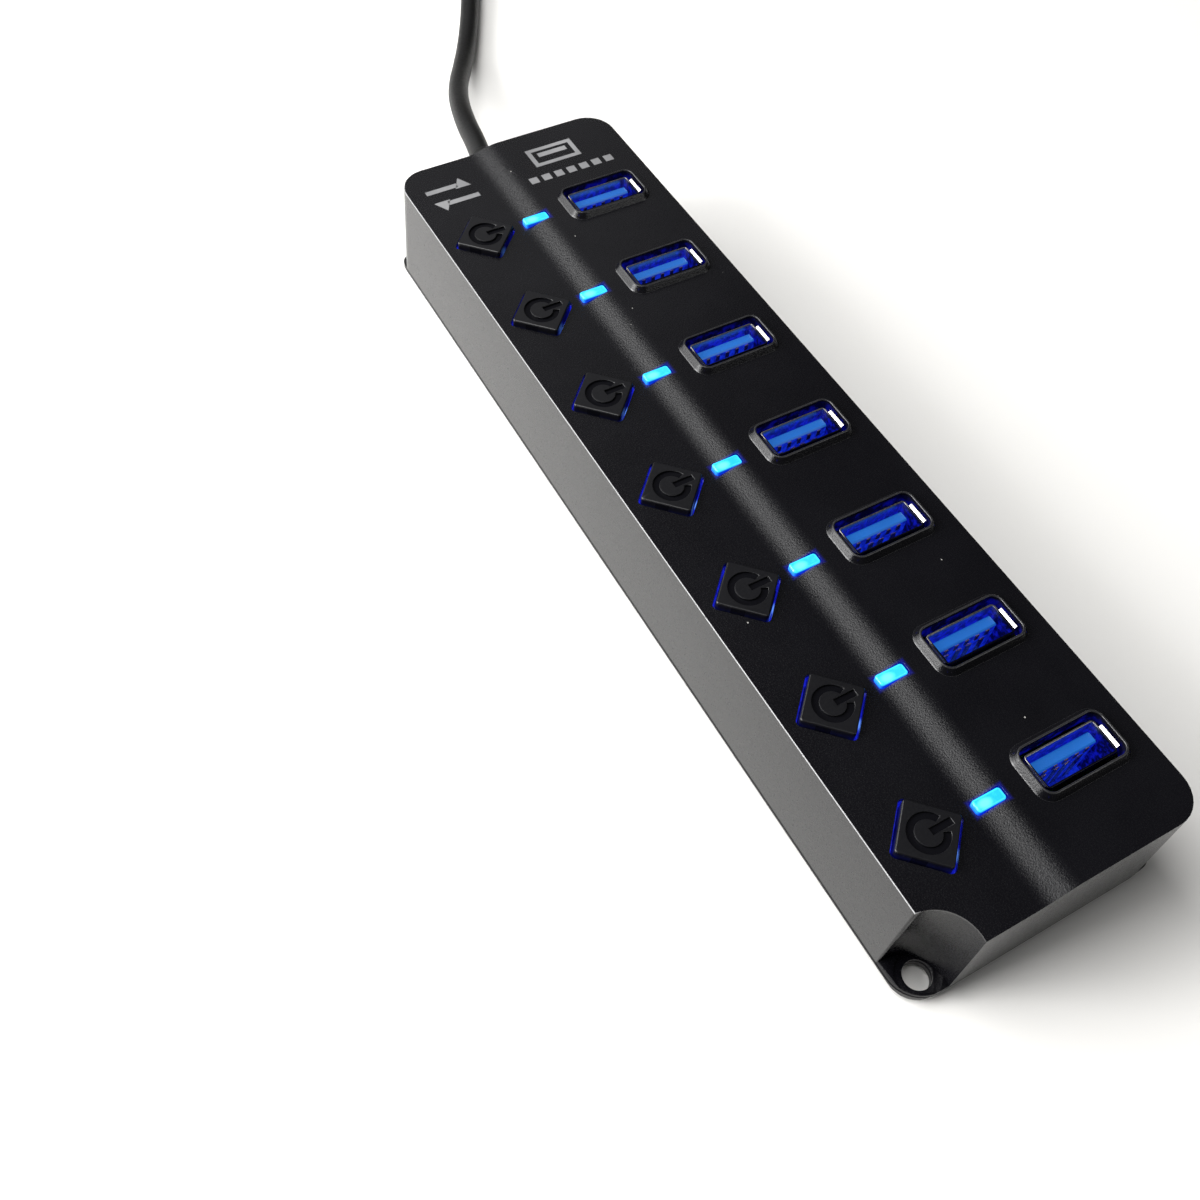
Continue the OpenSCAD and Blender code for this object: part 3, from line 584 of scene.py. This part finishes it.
def mergedCopy(node):
    shape = bmesh.new()
    shape.from_mesh(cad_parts[node].data)
    bmesh.ops.remove_doubles(shape, verts=shape.verts, dist=0.002 * mm)
    bmesh.ops.dissolve_limit(shape, angle_limit=math.radians(0.6), verts=shape.verts, edges=shape.edges)
    shape.faces.layers.float.new("edgeBand")
    return shape


def roundEdges(shape, chosen, width, segments=3, wearAndHighlightBand=0.06):
    # rounds the sharp edges that chosen(middle in mm, edge) picks, and marks the new faces
    picked = []
    for edge in shape.edges:
        if len(edge.link_faces) == 2 and abs(edge.calc_face_angle(0)) > math.radians(28):
            at = (edge.verts[0].co + edge.verts[1].co) / 2 / mm
            if chosen(at, edge):
                picked.append(edge)
    made = bmesh.ops.bevel(shape, geom=picked, offset=width * mm, offset_type="OFFSET", affect="EDGES",
                           segments=segments, profile=0.5, material=-1, clamp_overlap=True)
    band = shape.faces.layers.float["edgeBand"]
    for face in made["faces"]:
        face[band] = wearAndHighlightBand
    return len(picked)


# Housing, screw ear and bottom cover
housingEdges = dict(top=0.45, rim=0.3, foot=0.3, hole=0.12, scoop=0.25, ear=0.1, base=0.15)
slope = dict(wide=7, rise=1.2)


def slopeLean(x):
    # rise over run of the soft slope at x
    s = min(max((x - lampX) / slope["wide"] + 0.5, 0), 1)
    return 6 * s * (1 - s) * slope["rise"] / slope["wide"]


def smoothSlope(piece):
    # the roof's flats and the slope's facets shade as one even surface
    held = piece.evaluated_get(bpy.context.evaluated_depsgraph_get())
    normals = [Vector(corner.vector) for corner in held.to_mesh().corner_normals]
    held.to_mesh_clear()
    data = piece.data
    band = data.attributes["edgeBand"].data
    for face in data.polygons:
        if face.normal.z < 0.95 or band[face.index].value > 0:
            continue
        for corner in face.loop_indices:
            at = data.vertices[data.loops[corner].vertex_index].co / mm
            if lowRoof - 0.1 < at.z < lowRoof + slope["rise"] + 0.1:
                normals[corner] = Vector((-slopeLean(at.x), 0, 1)).normalized()
    piece.modifiers.clear()
    data.normals_split_custom_set(normals)


def addHousing():
    shape = mergedCopy("top_housing")
    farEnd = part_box("top_housing")[1][1] / mm

    def outer(at, edge):
        inRoof = lowRoof - 0.05 < at.z < lowRoof + 1.35
        return inRoof and (abs(at.x) > 21.6 or abs(at.y) > farEnd - 1.6 or (at.x < -14.5 and at.y < -77.5))

    # the long edge beside the switches gets the strongest mark: wear and a painted highlight along that lit
    # edge
    counts = [roundEdges(shape, lambda at, e: outer(at, e) and at.x < -21.6, housingEdges["top"], 4, 1)]
    counts.append(roundEdges(shape, lambda at, e: outer(at, e) and at.x >= -21.6, housingEdges["top"], 4))
    counts.append(roundEdges(shape, lambda at, e: at.z > rimTop - 0.05, housingEdges["rim"], 4))
    counts.append(roundEdges(
        shape, lambda at, e: abs(at.z - lowRoof - slope["rise"]) < 0.06 and at.x > lampX
        and abs(at.x) < 20.4 and abs(at.y) < farEnd - 2, housingEdges["foot"], 3, 0.1))
    counts.append(roundEdges(
        shape, lambda at, e: lowRoof - 0.1 < at.z < lowRoof + 1.3 and -21.5 < at.x < lampX + 3.2
        and abs(at.y) < 72, housingEdges["hole"], 2))
    counts.append(roundEdges(
        shape, lambda at, e: at.x < -14 and at.y < -77 and 3 < at.z < lowRoof - 0.6
        and abs(e.verts[0].co.z - e.verts[1].co.z) > 8 * mm and (at.x < -22 or at.y < -87),
        housingEdges["scoop"], 3))
    print("housing edges rounded:", counts)
    piece = showPiece(shape, "housing", finishes["housing"])
    weigh(piece)
    smoothSlope(piece)
    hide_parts("top_housing")


def addEar():
    shape = mergedCopy("corner_ear")
    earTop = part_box("corner_ear")[1][2] / mm
    roundEdges(shape, lambda at, e: at.z > earTop - 0.25, housingEdges["ear"], 2)
    piece = showPiece(shape, "screwEar", finishes["housing"])
    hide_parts("corner_ear")


def addCover():
    shape = mergedCopy("bottom_cover")
    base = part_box("bottom_cover")[0][2] / mm
    roundEdges(shape, lambda at, e: abs(at.z - base) < 0.05, housingEdges["base"], 2)
    piece = showPiece(shape, "baseCover", finishes["cover"])
    weigh(piece)
    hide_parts("bottom_cover")


addHousing()
addEar()
addCover()
print("housing done")

# Push switches: the caps and the lit frames round them
capEdges = dict(top=0.22, mark=0.08)
litFrame = dict(outer=9.1, inner=8.72, low=-3.58, high=-0.75)


def addCaps():
    for i in rowNumbers:
        shape = mergedCopy(f"keycap_{i}")

        def inMark(at):
            return math.hypot(at.x - switchX, at.y - rowY[i]) < 4.1

        roundEdges(shape, lambda at, e: at.z > capTop - 0.05 and not inMark(at), capEdges["top"], 3)
        roundEdges(shape, lambda at, e: at.z > capTop - 0.05 and inMark(at), capEdges["mark"], 2)
        piece = showPiece(shape, f"cap_{i}", finishes["cap"], f"button_{i}")
        weigh(piece)
        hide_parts(f"keycap_{i}")


def addLitFrames():
    # a thin square sleeve in the gap round each cap
    shape = bmesh.new()
    for i in rowNumbers:
        loops = []
        for side in (litFrame["outer"], litFrame["inner"]):
            ring = bmesh.ops.create_circle(shape, segments=4, radius=side / math.sqrt(2) * mm)["verts"]
            bmesh.ops.translate(shape, verts=ring,
                                vec=Vector((switchX, rowY[i], lowRoof + litFrame["low"])) * mm)
            loops += list({e for v in ring for e in v.link_edges})
        floor = bmesh.ops.bridge_loops(shape, edges=loops)["faces"]
        lifted = bmesh.ops.extrude_face_region(shape, geom=floor)["geom"]
        bmesh.ops.translate(shape, verts=[g for g in lifted if isinstance(g, bmesh.types.BMVert)],
                            vec=(0, 0, (litFrame["high"] - litFrame["low"]) * mm))
    bmesh.ops.recalc_face_normals(shape, faces=shape.faces)
    showPiece(shape, "litFrames", finishes["guide"])


addCaps()
addLitFrames()
print("switches done")

# Sockets: shells with rounded mouths and spread lips
shellEdges = dict(mouth=0.1)
lips = dict(inner=6.28, outer=7.0, low=22.35, high=23.05, near=-2.35, far=1.45, sheet=0.14)


def addShells():
    for i in rowNumbers:
        shape = mergedCopy(f"port_shell_{i}")
        roundEdges(shape, lambda at, e: at.z > shellTop - 0.05, shellEdges["mouth"], 2)
        piece = showPiece(shape, f"shell_{i}", finishes["nickel"])
        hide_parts(f"port_shell_{i}")


def addLips():
    shape = bmesh.new()
    for i in rowNumbers:
        for side in (-1, 1):
            plate = bmesh.ops.create_grid(shape, x_segments=3, y_segments=4, size=0.5)["verts"]
            for vert in plate:
                across, along = vert.co.x + 0.5, vert.co.y + 0.5
                curl = math.sin(across * math.pi / 2)
                vert.co = Vector((
                    socketX + side * (lips["inner"] + (lips["outer"] - lips["inner"]) * across),
                    rowY[i] + lips["near"] + (lips["far"] - lips["near"]) * along,
                    lips["low"] + (lips["high"] - lips["low"]) * curl)) * mm
    bmesh.ops.recalc_face_normals(shape, faces=shape.faces)
    bmesh.ops.solidify(shape, geom=shape.faces, thickness=lips["sheet"] * mm)
    bmesh.ops.recalc_face_normals(shape, faces=shape.faces)
    showPiece(shape, "shellLips", finishes["lip"], sharp=50)


addShells()
addLips()
print("sockets done")

# Signal lamps: the clear blocks with softly rounded tops
lampEdges = dict(top=0.28, side=0.75)


def addLamps():
    for i in rowNumbers:
        shape = mergedCopy(f"lamp_{i}")
        roundEdges(shape, lambda at, e: abs(e.verts[0].co.z - e.verts[1].co.z) > 1 * mm
                   and at.z > lampTop - 4, lampEdges["side"], 4)
        roundEdges(shape, lambda at, e: at.z > lampTop - 0.05, lampEdges["top"], 4)
        piece = showPiece(shape, f"signalLamp_{i}", finishes["lamp"])
        weigh(piece)
        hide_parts(f"lamp_{i}")


addLamps()
print("lamps done")

# Lead's ends: strain relief, plug grip and plug
plugEdges = dict(grip=0.9, shell=0.096, relief=0.25)


def addLeadEnds():
    shape = mergedCopy("strain_relief")
    roundEdges(shape, lambda at, e: at.y > 96.3, plugEdges["relief"], 3)
    relief = showPiece(shape, "leadRelief", finishes["lead"])
    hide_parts("strain_relief")
    shape = mergedCopy("plug_grip")
    roundEdges(shape, lambda at, e: True, plugEdges["grip"], 4)
    grip = showPiece(shape, "plugGrip", finishes["grip"])
    weigh(grip)
    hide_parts("plug_grip")
    shape = mergedCopy("plug_shell")
    roundEdges(shape, lambda at, e: True, plugEdges["shell"], 2)
    shell = showPiece(shape, "plugShell", finishes["lip"])
    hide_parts("plug_shell")
    return [relief, grip, shell]


leadEnds = addLeadEnds()
leadPiece.data.materials.append(finishes["lead"])
print("lead's ends done")

# Printed marks by the lead's end: two opposed arrows, a socket's outline and seven small squares
marks = dict(
    thick=0.05, sunk=0.01,
    arrows=dict(x=(-19.4, -10), y=(80.5, 76.3), line=1.15, head=1.9),
    outline=dict(x=(3, 13), y=(77.2, 82.6), line=0.9),
    squares=dict(x=-0.2, y=73.8, side=1.75, step=2.75))


def inkBar(shape, x, y, z):
    centre = Vector(((x[0] + x[1]) / 2, (y[0] + y[1]) / 2, z + marks["thick"] / 2 - marks["sunk"]))
    size = Matrix.Diagonal(Vector(((x[1] - x[0]) * mm, (y[1] - y[0]) * mm, marks["thick"] * mm, 1)))
    bmesh.ops.create_cube(shape, size=1, matrix=Matrix.Translation(centre * mm) @ size)


def inkHead(shape, tip, y, z, way):
    head = marks["arrows"]["head"]
    centre = Vector((tip - way * head, y, z + marks["thick"] / 2 - marks["sunk"]))
    turn = Matrix.Translation(centre * mm) @ Matrix.Rotation(0 if way > 0 else math.pi, 4, "Z")
    bmesh.ops.create_cone(shape, cap_ends=True, segments=3, radius1=head * mm,
                          radius2=head * mm, depth=marks["thick"] * mm, matrix=turn)


def addMarks():
    shape = bmesh.new()
    arrows, outline, squares = marks["arrows"], marks["outline"], marks["squares"]
    for y, way in ((arrows["y"][0], 1), (arrows["y"][1], -1)):
        half = arrows["line"] / 2
        ends = [arrows["x"][0], arrows["x"][1]]
        tip = ends[1] if way > 0 else ends[0]
        span = (ends[0], tip - 1.5 * arrows["head"]) if way > 0 else (tip + 1.5 * arrows["head"], ends[1])
        inkBar(shape, span, (y - half, y + half), lowRoof)
        inkHead(shape, tip, y, lowRoof, way)
    roof = lowRoof + slope["rise"]
    x, y, line = outline["x"], outline["y"], outline["line"]
    for bar in (((x[0], x[1]), (y[0], y[0] + line)), ((x[0], x[1]), (y[1] - line, y[1])),
                ((x[0], x[0] + line), (y[0] + line, y[1] - line)),
                ((x[1] - line, x[1]), (y[0] + line, y[1] - line)),
                ((x[0] + 1.9, x[1] - 1.9), (y[0] + 2.6, y[0] + 3.8))):
        inkBar(shape, *bar, roof)
    for n in range(7):
        left = squares["x"] + n * squares["step"]
        inkBar(shape, (left, left + squares["side"]), (squares["y"] - squares["side"] / 2,
                                                         squares["y"] + squares["side"] / 2), roof)
    showPiece(shape, "printedMarks", finishes["ink"], sharp=20)


addMarks()


# Nodes that stay as they are
keptNodes = dict(
    main_board="board", housing_screws="steel", rubber_feet="rubber", hub_chips="chip", crystals="can",
    capacitors="can", resistors="chip", button_leds="resin", light_guides="guide", switch_bodies="switch",
    port_contacts="gold", lamp_pins="tin", lead_wires="wires", cord_tie="tie", plug_tongue="tongue",
    plug_contacts="gold", **{f"port_tongue_{i}": "tongue" for i in rowNumbers},
    **{f"plunger_{i}": "switch" for i in rowNumbers})
for nodeName, finishName in keptNodes.items():
    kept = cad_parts[nodeName].data
    kept.materials.clear()
    kept.materials.append(finishes[finishName])
print("kept nodes finished:", len(keptNodes))


# Floor and light: a long strip overhead to the left, soft light from the left and behind,
# and weak light from the right
studio = dict(
    floor=(0.84, 0.83, 0.805), rough=0.7, span=6, world=0.03,
    lights=[
        dict(name="overStrip", place=(-225, 395, 720), aim=(-225, 395, 0), size=(390, 960),
             power=7.2),
        dict(name="backSoft", place=(-680, 560, 430), aim=(0, 0, 0), size=(760, 760), power=11),
        dict(name="leftSoft", place=(-760, 200, 380), aim=(0, 0, 0), size=(420, 420), power=8.5),
        dict(name="backRight", place=(320, 900, 640), aim=(0, 0, 0), size=(560, 560), power=0.25),
        dict(name="frontRight", place=(520, -560, 600), aim=(0, 0, 0), size=(420, 420), power=1)])


def addFloor():
    data = bpy.data.meshes.new("floor")
    shape = bmesh.new()
    bmesh.ops.create_grid(shape, x_segments=1, y_segments=1, size=studio["span"] / 2)
    shape.to_mesh(data)
    shape.free()
    floor = bpy.data.objects.new("floor", data)
    bpy.context.scene.collection.objects.link(floor)
    look = bpy.data.materials.new("floorPaper")
    look.use_nodes = True
    shader = look.node_tree.nodes["Principled BSDF"]
    shader.inputs["Base Color"].default_value = (*studio["floor"], 1)
    shader.inputs["Roughness"].default_value = studio["rough"]
    data.materials.append(look)


def addLights():
    for values in studio["lights"]:
        data = bpy.data.lights.new(values["name"], "AREA")
        data.energy = values["power"]
        data.shape = "RECTANGLE"
        data.size, data.size_y = (side * mm for side in values["size"])
        lamp = bpy.data.objects.new(values["name"], data)
        lamp.location = Vector(values["place"]) * mm
        lamp.rotation_mode = "QUATERNION"
        lamp.rotation_quaternion = (lamp.location - Vector(values["aim"]) * mm).to_track_quat("Z", "Y")
        bpy.context.scene.collection.objects.link(lamp)
    world = bpy.data.worlds.new("studio")
    bpy.context.scene.world = world
    world.use_nodes = True
    background = world.node_tree.nodes["Background"]
    background.inputs["Color"].default_value = (1, 1, 1, 1)
    background.inputs["Strength"].default_value = studio["world"]
    bpy.context.scene.view_settings.view_transform = "Standard"


addFloor()
addLights()
print("floor and lights placed")
